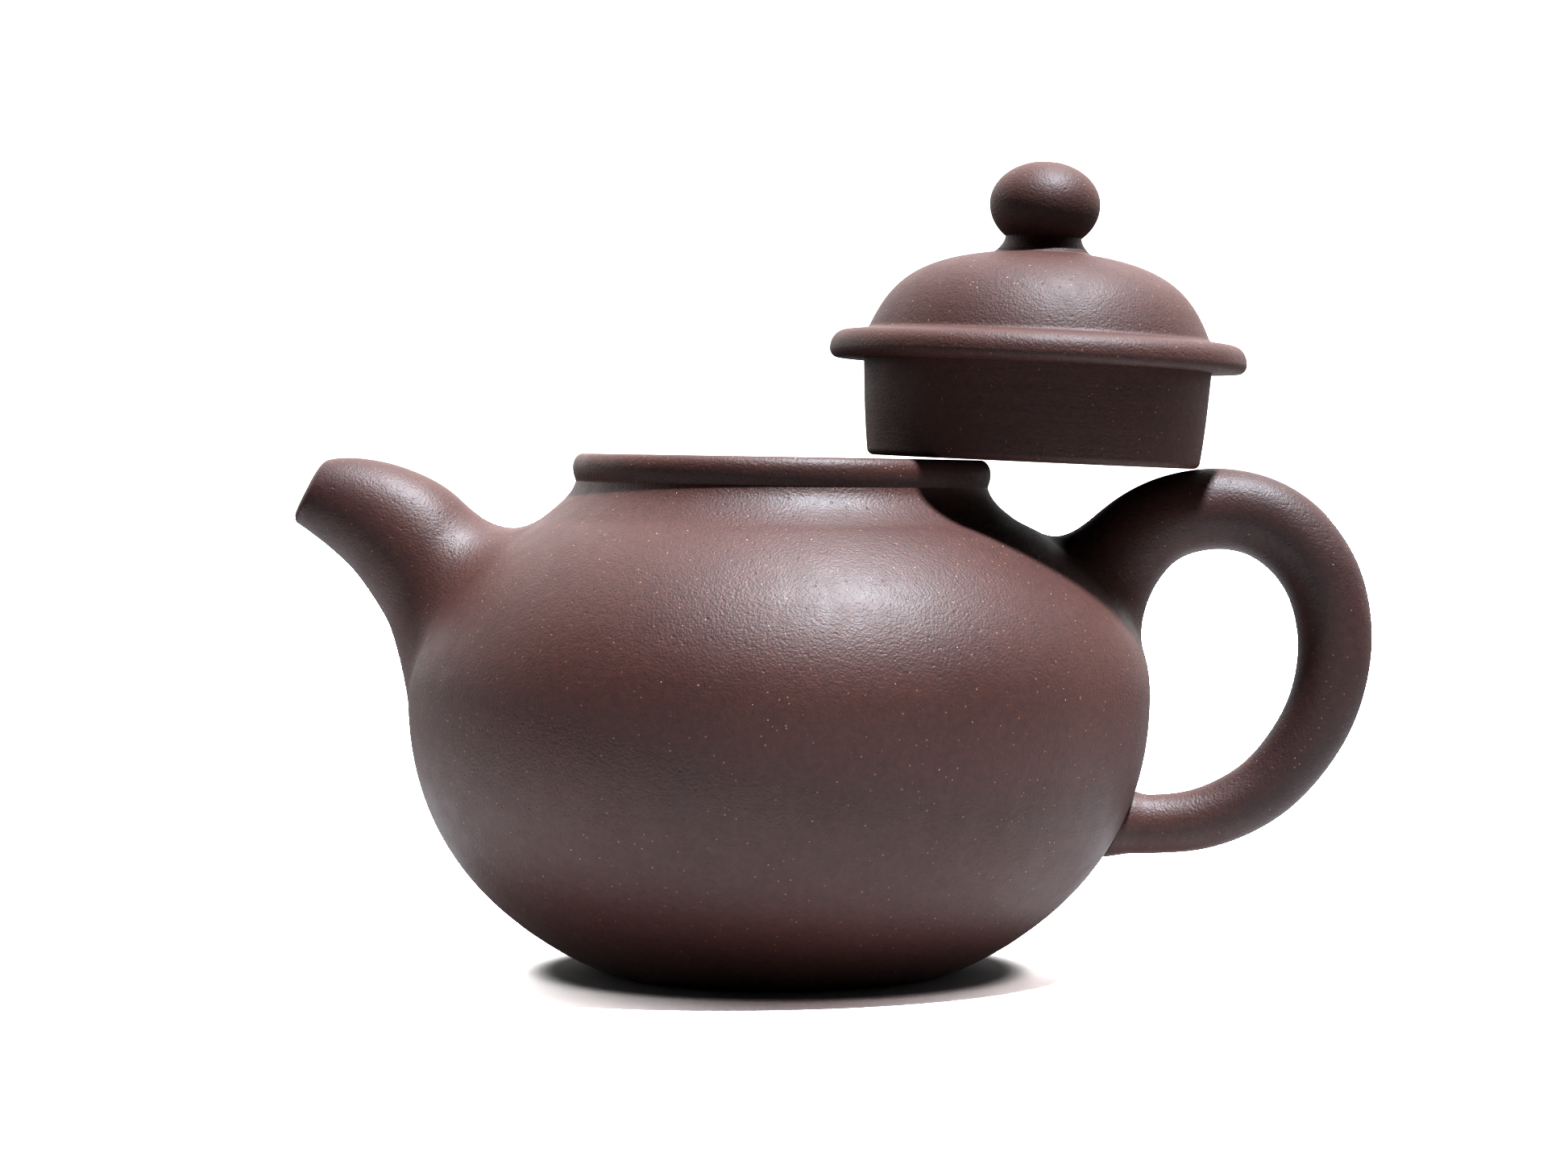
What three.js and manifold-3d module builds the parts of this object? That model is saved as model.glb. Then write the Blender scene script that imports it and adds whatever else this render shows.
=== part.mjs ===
// A round clay teapot, about 200 ml, with its lid lifted off and propped between mouth and handle.
// Millimetres, +Z up. The origin is on the pot's axis, on the surface that the pot stands on.
// The handle points along +X and the spout along -X. Every piece is clay that was shaped by itself
// and luted to its neighbours; a thin seam is left open at each of those joins.

import * as THREE from "three";
import { mergeVertices } from "three/addons/utils/BufferGeometryUtils.js";
import Module from "manifold-3d";

// ---------------------------------------------------------------------------
// Driving dimensions
// ---------------------------------------------------------------------------

// Body
const bellyRadius = 43; // widest outer radius
const bellyHeight = 32.4; // height of the widest circle
const upperRise = 26.5; // half height of the ellipse that forms the shoulder
const baseRadius = 20.5; // circle where the wall meets the table
const lowerPower = 2.21; // above 2, so the lower half is fuller than an ellipse
const bodyWall = 3;
const baseThickness = 3.5;
const footWidth = 2.6; // flat ring of wall around the base disc

// Neck and mouth
const mouthBoreRadius = 20.5;
const neckWall = 3.6; // at the narrowest place of the neck
const flareWidth = 4.66; // how far the neck spreads before it runs into the shoulder
const flareRise = 4.9; // height of that spread
const flarePower = 1.6;
const discTopRise = 1.9; // top of the shoulder disc above the start of the flare
const shoulderLap = 1; // shoulder disc reaches this far outside the flare
const beadHeight = 2.8;
const beadOverhang = 0.3; // mouth bead beyond the neck
const beadNose = 1.2; // depth of the bead's rounded edge
const boreChamfer = 0.4;

// Spout
const spoutReach = 10.7; // tip's upper edge beyond the belly
const spoutTipDrop = 0.7; // tip's upper edge below the mouth rim
const spoutRootWall = 3;
const spoutTipWall = 1.05;

// Strainer inside the spout's root
const strainerRise = 9.6; // its centre above the belly circle
const strainerRadius = 9.6;
const strainerWall = 1.6;
const strainerHoleRadius = 0.9;
const strainerRings = [
  { holes: 1, tilt: 0 },
  { holes: 6, tilt: 24 },
  { holes: 9, tilt: 46 },
];

// Handle
const handleUpperThickness = 10.2;
const handleLowerThickness = 6.4;

// Lid; its heights count from the underside of the flange
const flangeThickness = 3.3;
const flangeNose = 1.5;
const flangeFootNose = 0.7;
const flangeInset = 0.1; // flange inside the mouth bead's outer edge
const domeFootInset = 0.6; // dome's foot inside the mouth bore
const domeRise = 9.5; // dome's top above the flange
const lidWall = 2.6;
const skirtDepth = 11.2;
const skirtTaper = 0.85; // skirt is this much smaller in radius at its lower edge
const skirtWall = 2.6;
const skirtEdge = 0.8; // rounding of the lower edge
const ventRadius = 1;

// Knob and its stem
const stemFootRadius = 5.35;
const stemRadius = 4.42;
const stemRise = 1.75;
const knobRadius = 6.44;
const knobWidest = 3.8; // height of its widest circle above its underside
const knobUpper = 5;
const knobLower = 5.34;

// Clearances
const seam = 0.3; // between pieces that are luted together
const lidClearance = 0.3; // lid skirt inside the mouth, all round
const restGap = 0.3; // between the propped lid and what holds it

// Facets
const roundSides = 48;
const knobSides = 24;
const spoutSides = 20;
const handleSides = 16;
const ballSides = 16;
const holeSides = 6;

// ---------------------------------------------------------------------------
// Sizes that follow from them
// ---------------------------------------------------------------------------

const neckRadius = mouthBoreRadius + neckWall;
const beadRadius = neckRadius + beadOverhang;
const flareRadius = neckRadius + flareWidth;
const shoulderSeamRadius = flareRadius + shoulderLap;
const flareHeight = shoulderHeight(flareRadius);
const neckHeight = flareHeight + flareRise;
const discTop = flareHeight + discTopRise;
const rimHeight = neckHeight + beadHeight;
const lowerDrop = bellyHeight / (1 - (baseRadius / bellyRadius) ** 2) ** (1 / lowerPower);
const baseDiscRadius = baseRadius - footWidth;

const flangeRadius = beadRadius - flangeInset;
const skirtRadius = mouthBoreRadius - lidClearance;
const skirtFootRadius = skirtRadius - skirtTaper;
const skirtInnerRadius = skirtFootRadius - skirtWall;
const domeFootRadius = mouthBoreRadius - domeFootInset;
const domeFootHeight = flangeThickness + seam;
const domeTopHeight = flangeThickness + domeRise + seam;
const stemFootHeight = domeTopHeight + seam;
const stemTopHeight = stemFootHeight + stemRise - seam;
const knobFootHeight = stemTopHeight + seam;

// ---------------------------------------------------------------------------
// Making solids
// ---------------------------------------------------------------------------

const wasm = await Module();
wasm.setup();

// A closed geometry as a solid that faces outwards.
function solidOf(geometry) {
  const bare = geometry.clone();
  bare.deleteAttribute("normal");
  bare.deleteAttribute("uv");
  const merged = mergeVertices(bare, 1e-4);
  const corners = merged.index.array;
  const triangles = [];
  for (let i = 0; i < corners.length; i += 3) {
    const [a, b, c] = corners.slice(i, i + 3);
    if (a !== b && b !== c && c !== a) {
      triangles.push([a, b, c]);
    }
  }
  const build = (faces) =>
    new wasm.Manifold(
      new wasm.Mesh({
        numProp: 3,
        vertProperties: new Float32Array(merged.attributes.position.array),
        triVerts: new Uint32Array(faces.flat()),
      }),
    );
  const made = build(triangles);
  return made.volume() > 0 ? made : build(triangles.map(([a, b, c]) => [a, c, b]));
}

// A turned solid: its profile is a list of [radius, height].
function turned(profile, sides = roundSides) {
  const points = profile.map(([radius, height]) => new THREE.Vector2(radius, height));
  return solidOf(new THREE.LatheGeometry(points, sides).rotateX(Math.PI / 2));
}

// A turned ring: the profile closes on itself.
function turnedRing(profile, sides = roundSides) {
  return turned([...profile, profile[0]], sides);
}

// A solid of round sections. section(t), for t from 0 to 1, gives each one's centre, the unit vector
// across it in the XZ plane, and its radius. Plane vectors hold x and z.
function carried(section, steps, sides) {
  const profile = [new THREE.Vector2(0, 0)];
  for (let i = 0; i <= steps; i += 1) {
    profile.push(new THREE.Vector2(1, i / steps));
  }
  profile.push(new THREE.Vector2(0, 1));
  const geometry = new THREE.LatheGeometry(profile, sides);
  const position = geometry.attributes.position;
  for (let i = 0; i < position.count; i += 1) {
    const { centre, across, radius } = section(position.getY(i));
    const inPlane = radius * position.getX(i);
    const sideways = radius * position.getZ(i);
    position.setXYZ(i, centre.x + across.x * inPlane, sideways, centre.y + across.y * inPlane);
  }
  return solidOf(geometry);
}

// One named piece of fired clay.
function clayPiece(name, solid) {
  const { vertProperties, triVerts } = solid.getMesh();
  const geometry = new THREE.BufferGeometry();
  geometry.setAttribute("position", new THREE.BufferAttribute(vertProperties, 3));
  geometry.setIndex(new THREE.BufferAttribute(triVerts, 1));
  geometry.computeVertexNormals();
  const clay = new THREE.MeshStandardMaterial({ color: "#3f2f31", roughness: 0.55, metalness: 0 });
  const piece = new THREE.Mesh(geometry, clay);
  piece.name = name;
  return piece;
}

// count + 1 values of f, at even steps from 0 to 1.
function sampled(count, f) {
  return Array.from({ length: count + 1 }, (_, i) => f(i / count));
}

// ---------------------------------------------------------------------------
// The body's surfaces: inset is how far a surface lies inside the outer one
// ---------------------------------------------------------------------------

// Height of the shoulder ellipse at a radius.
function shoulderHeight(radius, inset = 0) {
  const share = radius / (bellyRadius - inset);
  return bellyHeight + (upperRise - inset) * Math.sqrt(1 - share ** 2);
}

// From a height up to the belly circle: r = belly * sqrt(1 - (depth / drop) ^ power).
function lowerCurve(steps, inset, bottom) {
  return sampled(steps, (t) => {
    const depth = (bellyHeight - bottom) * Math.cos((t * Math.PI) / 2);
    const share = (depth / (lowerDrop - inset)) ** lowerPower;
    return [(bellyRadius - inset) * Math.sqrt(1 - share), bellyHeight - depth];
  });
}

// From the belly circle up the shoulder ellipse to a radius.
function upperCurve(steps, inset, endRadius) {
  const radius = bellyRadius - inset;
  const end = Math.acos(endRadius / radius);
  return sampled(steps, (t) => [
    radius * Math.cos(t * end),
    bellyHeight + (upperRise - inset) * Math.sin(t * end),
  ]);
}

// The neck's hollow flare between two shares of its height.
function flareCurve(steps, from, to, inset = 0) {
  return sampled(steps, (t) => {
    const share = from + (to - from) * t;
    return [
      neckRadius + flareWidth * (1 - share) ** flarePower - inset,
      flareHeight + flareRise * share,
    ];
  });
}

// A quarter of an ellipse between two angles in degrees.
function arc(steps, centre, halfWidth, halfHeight, from, to) {
  return sampled(steps, (t) => {
    const angle = THREE.MathUtils.degToRad(from + (to - from) * t);
    return [centre[0] + halfWidth * Math.cos(angle), centre[1] + halfHeight * Math.sin(angle)];
  });
}

// Everything inside the body's outer surface, and a seam's width more. Spout and handle end on it.
const bodyEnvelope = turned([
  [0, -seam],
  [baseRadius, -seam],
  ...lowerCurve(8, -seam, 0),
  ...upperCurve(7, -seam, flareRadius + seam).slice(1),
  ...flareCurve(5, 0, 1, -seam).slice(1),
  [0, neckHeight],
]);

// The space inside the body, a seam's width smaller.
const bodyHollow = turned([
  [0, baseThickness + seam],
  ...lowerCurve(8, bodyWall + seam, baseThickness + seam),
  ...upperCurve(7, bodyWall + seam, mouthBoreRadius).slice(1),
  [0, shoulderHeight(mouthBoreRadius, bodyWall + seam)],
]);

// ---------------------------------------------------------------------------
// Spout: each section is a circle between the crest line and the keel line
// ---------------------------------------------------------------------------

const spoutTip = new THREE.Vector2(-bellyRadius - spoutReach, rimHeight - spoutTipDrop);
const spoutBelly = new THREE.Vector2(-bellyRadius, bellyHeight);

// A smooth line through points; x counts away from the pot's axis.
function sideLine(points) {
  return new THREE.CatmullRomCurve3(points.map(({ x, y }) => new THREE.Vector3(x, y, 0)));
}

function offset(from, out, up) {
  return new THREE.Vector2(from.x - out, from.y + up);
}

const crestLine = sideLine([
  offset(spoutBelly, -13.5, 15.2),
  offset(spoutBelly, -10.2, 19.3),
  offset(spoutBelly, -6.3, 22),
  offset(spoutTip, -11.3, -1.1),
  offset(spoutTip, -3.8, 0.5),
  spoutTip,
]);

const keelLine = sideLine([
  offset(spoutBelly, -4.5, 1),
  offset(spoutBelly, 1.2, 5.6),
  offset(spoutBelly, 4.1, 11.2),
  offset(spoutTip, -2.8, -10.8),
  offset(spoutTip, 0.9, -7.9),
  offset(spoutTip, 2.9, -5.4),
]);

function spoutSection(t, inward) {
  const crest = crestLine.getPoint(t);
  const keel = keelLine.getPoint(t);
  const centre = new THREE.Vector2((crest.x + keel.x) / 2, (crest.y + keel.y) / 2);
  const across = new THREE.Vector2(crest.x - keel.x, crest.y - keel.y);
  const radius = across.length() / 2 - inward;
  return { centre, across: across.normalize(), radius };
}

// The bore narrows with the spout and its wall gets thinner towards the tip. It runs past the tip.
const spoutOverrun = 0.5;
const spoutBore = carried(
  (t) => {
    const wall = THREE.MathUtils.lerp(spoutRootWall, spoutTipWall, t);
    const section = spoutSection(t, wall);
    if (t === 1) {
      const along = new THREE.Vector2(-section.across.y, section.across.x);
      section.centre.addScaledVector(along, spoutOverrun);
    }
    return section;
  },
  12,
  spoutSides,
);

const spout = carried((t) => spoutSection(t, 0), 12, spoutSides)
  .subtract(bodyEnvelope)
  .subtract(spoutBore);

// ---------------------------------------------------------------------------
// Handle
// ---------------------------------------------------------------------------

const handleLine = new THREE.CatmullRomCurve3(
  [
    [bellyRadius - 8, bellyHeight + 10.2],
    [bellyRadius - 3, rimHeight - 11.6],
    [bellyRadius + 2.5, rimHeight - 7],
    [bellyRadius + 8.3, rimHeight - 5.9],
    [bellyRadius + 13.1, rimHeight - 6.9],
    [bellyRadius + 17.5, rimHeight - 9.9],
    [bellyRadius + 20.5, bellyHeight + 12.9],
    [bellyRadius + 21.9, bellyHeight + 6.5],
    [bellyRadius + 20.9, bellyHeight - 0.2],
    [bellyRadius + 18.6, bellyHeight - 5.4],
    [bellyRadius + 14, bellyHeight - 10.8],
    [bellyRadius + 8.6, bellyHeight - 14],
    [bellyRadius + 3, bellyHeight - 15.4],
    [bellyRadius - 8, bellyHeight - 15.4],
  ].map(([x, z]) => new THREE.Vector3(x, z, 0)),
  false,
  "centripetal",
);

function handleSection(t) {
  const centre = handleLine.getPointAt(t);
  const along = handleLine.getTangentAt(t);
  const across = new THREE.Vector2(-along.y, along.x);
  const radius = THREE.MathUtils.lerp(handleUpperThickness, handleLowerThickness, t) / 2;
  return { centre: new THREE.Vector2(centre.x, centre.y), across, radius };
}

const handle = carried(handleSection, 28, handleSides).subtract(bodyEnvelope);

// Outer edge of the handle in the XZ plane.
const handleOutline = sampled(120, (t) => {
  const { centre, across, radius } = handleSection(t);
  return centre.addScaledVector(across, radius);
});

// ---------------------------------------------------------------------------
// Body pieces
// ---------------------------------------------------------------------------

const baseDisc = turned([
  [0, 0],
  [baseDiscRadius, 0],
  [baseDiscRadius, baseThickness],
  [0, baseThickness],
]);

const bodyWallRing = turnedRing([
  ...lowerCurve(8, 0, 0),
  ...upperCurve(7, 0, shoulderSeamRadius).slice(1),
  ...upperCurve(6, bodyWall, shoulderSeamRadius).reverse(),
  ...lowerCurve(7, bodyWall, baseThickness).reverse().slice(1),
  [baseDiscRadius + seam, baseThickness],
  [baseDiscRadius + seam, 0],
]).subtract(spoutBore);

const shoulderDisc = turnedRing([
  [shoulderSeamRadius - seam, shoulderHeight(shoulderSeamRadius - seam)],
  ...flareCurve(4, 0, discTopRise / flareRise),
  [mouthBoreRadius, discTop],
  ...sampled(3, (t) => {
    const radius = THREE.MathUtils.lerp(mouthBoreRadius, shoulderSeamRadius - seam, t);
    return [radius, shoulderHeight(radius, bodyWall)];
  }),
]);

const neckRing = turnedRing([
  [mouthBoreRadius, discTop + seam],
  ...flareCurve(5, (discTopRise + seam) / flareRise, 1),
  [mouthBoreRadius, neckHeight],
]);

const beadMiddle = (neckHeight + seam + rimHeight) / 2;
const beadHalf = (rimHeight - neckHeight - seam) / 2;
const mouthBead = turnedRing([
  [mouthBoreRadius, neckHeight + seam],
  ...arc(8, [beadRadius - beadNose, beadMiddle], beadNose, beadHalf, -90, 90),
  [mouthBoreRadius + boreChamfer, rimHeight],
  [mouthBoreRadius, rimHeight - boreChamfer],
]);

// ---------------------------------------------------------------------------
// Strainer: a bowl over the bore's inner end, with a hole on each of several rings of rays
// ---------------------------------------------------------------------------

const strainerShare = strainerRise / (upperRise - bodyWall);
const strainerCentre = new THREE.Vector3(
  -(bellyRadius - bodyWall) * Math.sqrt(1 - strainerShare ** 2),
  0,
  bellyHeight + strainerRise,
);
const strainerInward = new THREE.Vector3(
  -strainerCentre.x / (bellyRadius - bodyWall) ** 2,
  0,
  -strainerRise / (upperRise - bodyWall) ** 2,
).normalize();

// Turns +Y to the strainer's own axis.
const strainerTurn = new THREE.Quaternion().setFromUnitVectors(
  new THREE.Vector3(0, 1, 0),
  strainerInward,
);

function ball(radius) {
  return solidOf(
    new THREE.SphereGeometry(radius, ballSides, ballSides / 2).translate(...strainerCentre.toArray()),
  );
}

function strainerHole(tilt, turn) {
  const pin = new THREE.CylinderGeometry(
    strainerHoleRadius,
    strainerHoleRadius,
    2 * strainerWall,
    holeSides,
  );
  pin.translate(0, strainerRadius - strainerWall / 2, 0);
  pin.rotateX(THREE.MathUtils.degToRad(tilt));
  pin.rotateY(turn);
  pin.applyQuaternion(strainerTurn);
  pin.translate(...strainerCentre.toArray());
  return solidOf(pin);
}

const strainerHoles = strainerRings.flatMap(({ holes, tilt }) =>
  Array.from({ length: holes }, (_, i) => strainerHole(tilt, (2 * Math.PI * i) / holes)),
);

const strainerDome = strainerHoles.reduce(
  (bowl, hole) => bowl.subtract(hole),
  ball(strainerRadius).subtract(ball(strainerRadius - strainerWall)).intersect(bodyHollow),
);

// ---------------------------------------------------------------------------
// Lid pieces, about the lid's own axis
// ---------------------------------------------------------------------------

const lidFlange = turnedRing([
  [skirtInnerRadius, 0],
  ...arc(3, [flangeRadius - flangeFootNose, flangeFootNose], flangeFootNose, flangeFootNose, -90, 0),
  ...arc(
    6,
    [flangeRadius - flangeNose, flangeFootNose],
    flangeNose,
    flangeThickness - flangeFootNose,
    0,
    90,
  ).slice(1),
  [skirtInnerRadius, flangeThickness],
]);

const lidSkirt = turnedRing([
  [skirtRadius, -seam],
  [skirtInnerRadius, -seam],
  [skirtInnerRadius, skirtEdge - skirtDepth],
  [skirtInnerRadius + skirtEdge, -skirtDepth],
  ...arc(
    3,
    [skirtFootRadius - skirtEdge, skirtEdge - skirtDepth],
    skirtEdge,
    skirtEdge,
    -90,
    0,
  ),
]);

// The dome rises steeply from the flange, turns over and flattens towards the stem.
const domeCurve = new THREE.CubicBezierCurve(
  new THREE.Vector2(domeFootRadius, domeFootHeight),
  new THREE.Vector2(domeFootRadius - 2.3, domeFootHeight + 5.7),
  new THREE.Vector2(domeFootRadius - 5.4, domeTopHeight - 1.1),
  new THREE.Vector2(stemFootRadius, domeTopHeight),
);

const domeOuter = sampled(8, (t) => domeCurve.getPoint(t).toArray());
const domeInner = sampled(5, (t) => {
  const along = domeCurve.getTangent(t);
  const point = domeCurve.getPoint(t);
  return [
    Math.max(point.x - lidWall * along.y, ventRadius),
    Math.max(point.y + lidWall * along.x, domeFootHeight),
  ];
});

const lidDome = turnedRing([
  ...domeOuter,
  [ventRadius, domeTopHeight],
  [ventRadius, domeTopHeight - lidWall],
  ...domeInner.slice(1).reverse(),
  [domeFootRadius - lidWall, domeFootHeight],
]);

const knobStem = turnedRing(
  [
    [ventRadius, stemFootHeight],
    [stemFootRadius, stemFootHeight],
    ...arc(
      4,
      [stemFootRadius, stemTopHeight],
      stemFootRadius - stemRadius,
      stemTopHeight - stemFootHeight,
      270,
      180,
    ).slice(1),
    [ventRadius, stemTopHeight],
  ],
  knobSides,
);

const knobMiddle = knobFootHeight + knobWidest;
const knobFootAngle = -THREE.MathUtils.radToDeg(Math.asin(knobWidest / knobLower));
const knobTopAngle = THREE.MathUtils.radToDeg(Math.acos(ventRadius / knobRadius));
const knob = turnedRing(
  [
    [ventRadius, knobFootHeight],
    ...arc(5, [0, knobMiddle], knobRadius, knobLower, knobFootAngle, 0),
    ...arc(7, [0, knobMiddle], knobRadius, knobUpper, 0, knobTopAngle).slice(1),
  ],
  knobSides,
);

// ---------------------------------------------------------------------------
// Where the lid lies: its skirt rests on the mouth bead at two places and on the handle at a third
// ---------------------------------------------------------------------------

const crownSetback = 1.5; // skirt's far edge short of the handle's highest point
const crown = handleOutline.reduce((best, point) => (point.y > best.y ? point : best));
const lidX = crown.x - crownSetback - skirtFootRadius;
const beadFlatRadius = beadRadius - beadNose;

// Furthest place along X where the skirt's lower edge crosses the flat top of the bead.
const rimContact = new THREE.Vector2(
  (lidX ** 2 + beadFlatRadius ** 2 - skirtInnerRadius ** 2) / (2 * lidX),
  rimHeight + restGap,
);

const slopesOverHandle = handleOutline
  .filter(({ x }) => x > lidX + skirtInnerRadius && x < lidX + skirtFootRadius)
  .map(({ x, y }) => (y + restGap - rimContact.y) / (x - rimContact.x));
const lidSlope = Math.max(...slopesOverHandle);
const lidTilt = -Math.atan(lidSlope);
const lidFootHeight = rimContact.y + lidSlope * (lidX - rimContact.x);

// ---------------------------------------------------------------------------
// The assembly
// ---------------------------------------------------------------------------

const pot = new THREE.Group();
pot.add(
  clayPiece("base_disc", baseDisc),
  clayPiece("body_wall", bodyWallRing),
  clayPiece("shoulder_disc", shoulderDisc),
  clayPiece("neck_ring", neckRing),
  clayPiece("mouth_bead", mouthBead),
  clayPiece("spout", spout),
  clayPiece("strainer_dome", strainerDome),
  clayPiece("handle", handle),
);

const lid = new THREE.Group();
lid.add(
  clayPiece("lid_skirt", lidSkirt),
  clayPiece("lid_flange", lidFlange),
  clayPiece("lid_dome", lidDome),
  clayPiece("knob_stem", knobStem),
  clayPiece("knob", knob),
);
lid.rotation.y = lidTilt;
lid.position.set(
  lidX + skirtDepth * Math.sin(lidTilt),
  0,
  lidFootHeight + skirtDepth * Math.cos(lidTilt),
);

const teapot = new THREE.Group();
teapot.add(pot, lid);

export default teapot;
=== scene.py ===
"""A round clay teapot with its lid propped between mouth and handle.

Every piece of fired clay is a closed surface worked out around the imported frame. Metres, +Z up. The
origin is on the pot's axis where it stands, the handle points along +X and the spout along -X.
"""

import math

import bpy
import numpy as np
from bpy.props import FloatProperty, FloatVectorProperty, IntProperty, PointerProperty
from bpy.types import Operator, Panel, PropertyGroup
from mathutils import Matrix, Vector


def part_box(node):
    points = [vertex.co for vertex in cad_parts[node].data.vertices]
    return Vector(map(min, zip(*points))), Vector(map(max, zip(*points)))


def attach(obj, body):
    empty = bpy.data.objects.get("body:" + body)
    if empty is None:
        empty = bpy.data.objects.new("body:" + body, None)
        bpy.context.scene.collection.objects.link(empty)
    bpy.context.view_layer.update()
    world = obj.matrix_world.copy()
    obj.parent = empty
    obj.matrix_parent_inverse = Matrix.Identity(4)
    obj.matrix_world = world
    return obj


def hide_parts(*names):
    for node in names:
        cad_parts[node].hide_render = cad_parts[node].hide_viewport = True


bl_info = {
    "name": "Round Clay Teapot",
    "version": (1, 0, 0),
    "blender": (4, 5, 0),
    "location": "3D View > Sidebar > Teapot",
    "description": "Surfaces, clay finish and studio for a round clay teapot",
    "category": "Add Mesh",
}

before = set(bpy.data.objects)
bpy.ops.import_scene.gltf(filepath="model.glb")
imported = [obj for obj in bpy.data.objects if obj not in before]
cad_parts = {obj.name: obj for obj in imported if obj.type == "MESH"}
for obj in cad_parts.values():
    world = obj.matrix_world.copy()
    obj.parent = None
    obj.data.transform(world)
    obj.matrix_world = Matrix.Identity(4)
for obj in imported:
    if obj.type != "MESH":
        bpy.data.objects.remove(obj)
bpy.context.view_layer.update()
MM = 0.001
WALL_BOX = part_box("body_wall")
BEAD_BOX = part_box("mouth_bead")
TURN = 2 * math.pi
CRISP_ANGLE = math.radians(35)  # edges sharper than this stay crisp
LIMB_ANGLES = np.arange(120) * TURN / 120  # the steps round spout and handle

# Where neighbouring pieces meet, and small sizes that several of them share.
SEAM_RADIUS = 29.61 * MM  # body wall to shoulder disc
NECK_FOOT = 54.15 * MM  # height from shoulder disc to neck ring
BEAD_FOOT = 57.15 * MM  # height from neck ring to mouth bead
BEAD_RISE = 16  # points on the swelling foot of the mouth bead
DISC_INSET = 2.45 * MM  # base disc inside the circle that the wall stands on
DISC_TOP = 3.5 * MM  # thickness of the base disc
MOUTH_SLIP = 0.3 * MM  # mouth off the pot's axis, towards the handle
FLANGE_WAIST = 1.15 * MM  # height of the flange's widest circle
DOME_JOIN = 0.15 * MM  # the dome begins this far above the flange's top
STEM_FOOT = 5.6 * MM  # radius of the stem where the dome ends
STEM_JOIN = 0.3 * MM  # the stem begins this far above the dome's top
LID_SETTLE = 0.2 * MM  # takes up part of the gap that the frame leaves below the propped lid

# Clay and studio
IRON = (0.012, 0.008, 0.008)  # dark grains in the clay
PAINTED_LIMB_SHADE = (42 * MM, 58 * MM)  # painted shade: a limb's colour darkens between these distances from the axis
TABLE_HALF = 4.0  # half the table's side, in metres
TABLE_DROP = 0.02 * MM  # keeps the table's face clear of the pot's foot
PAINTED_CONTACT_SHADOW = (26 * MM, 31 * MM)  # painted contact shadow: the camera sees the table dark inside the first distance from the axis, and the overexposure sets in between these distances
LIGHT_COLOUR = (0.80, 0.92, 1.0)
LIGHT_ANGLE = math.radians(4)
LIGHT_FROM = (0.24, -0.19, 0.95)
EYE = (0.6 * MM, -471 * MM, 59.3 * MM)
EYE_DOWN = 1.78  # degrees below level
GAMMA = 0.77
EXPOSURE = 0.1


# --- Sizes and colours ---


def length(name, default, description):
    """A size in metres that a user may change."""
    kind = {"subtype": "DISTANCE", "unit": "LENGTH", "precision": 5}
    return FloatProperty(name=name, default=default, description=description, **kind)


def share(name, default, description, low=0.0, high=1.0):
    """A plain number between two limits."""
    return FloatProperty(name=name, default=default, description=description, min=low, max=high)


def colour(name, default, description):
    """A linear colour."""
    return FloatVectorProperty(
        name=name, default=default, description=description, subtype="COLOR", size=3, min=0.0, max=1.0
    )


class PotSizes(PropertyGroup):
    """Sizes of the body, its mouth, its spout and its handle."""

    belly_radius: length("Belly radius", WALL_BOX[1].x + 0.2 * MM, "Widest radius of the body")
    belly_height: length("Belly height", 32.4 * MM, "Height of the widest circle")
    shoulder_rise: length("Shoulder rise", 26.5 * MM, "Half height of the ellipse that forms the shoulder")
    base_radius: length("Base radius", 20.5 * MM, "Circle where the wall meets the table")
    lower_power: share("Lower fullness", 2.21, "Above 2 the lower half is fuller than an ellipse", 1.5, 4)
    wall: length("Wall", 3.0 * MM, "Thickness of the body wall")
    neck_radius: length("Neck radius", 24.08 * MM, "Radius at the crease below the mouth bead")
    flare_width: length("Flare width", 4.66 * MM, "How far the neck spreads towards the shoulder")
    flare_foot: length("Flare foot", 52.1 * MM, "Height where the flare leaves the shoulder")
    crease_height: length("Crease height", 56.75 * MM, "Height of the crease below the mouth bead")
    rim_height: length("Rim height", BEAD_BOX[1].z + 0.2 * MM, "Height of the mouth's flat top")
    bore_radius: length("Bore radius", 20.5 * MM, "Inner radius of the mouth")
    mouth_lean: FloatProperty(
        name="Mouth lean",
        default=math.radians(1.0),
        subtype="ANGLE",
        description="Mouth lower at the handle",
    )
    spout_spread: length("Spout spread", 12.5 * MM, "Half width of the spout where it leaves the body")
    handle_spread: length("Handle spread", 8.6 * MM, "Half width of the handle's upper root")


class LidSizes(PropertyGroup):
    """Sizes of the lid, from the underside of its flange along its own axis."""

    flange_radius: length("Flange radius", 24.3 * MM, "Widest radius of the lid")
    flange_height: length("Flange height", 3.3 * MM, "Thickness of the flange")
    dome_foot: length("Dome foot", 19.9 * MM, "Radius where the dome stands on the flange")
    dome_top: length("Dome top", 13.1 * MM, "Height where the dome meets the stem")
    wall: length("Wall", 2.6 * MM, "Thickness of dome and skirt")
    skirt_radius: length("Skirt radius", 20.25 * MM, "Outer radius of the skirt below the flange")
    skirt_foot: length("Skirt foot", 19.3 * MM, "Outer radius of the skirt at its lower edge")
    skirt_depth: length("Skirt depth", 11.2 * MM, "How far the skirt reaches down")
    stem_radius: length("Stem radius", 4.42 * MM, "Narrowest radius below the knob")
    knob_foot: length("Knob foot", 15.05 * MM, "Height of the crease below the knob")
    knob_radius: length("Knob radius", 6.44 * MM, "Widest radius of the knob")
    vent_radius: length("Vent radius", 1.0 * MM, "Air hole through knob and dome")


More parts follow.
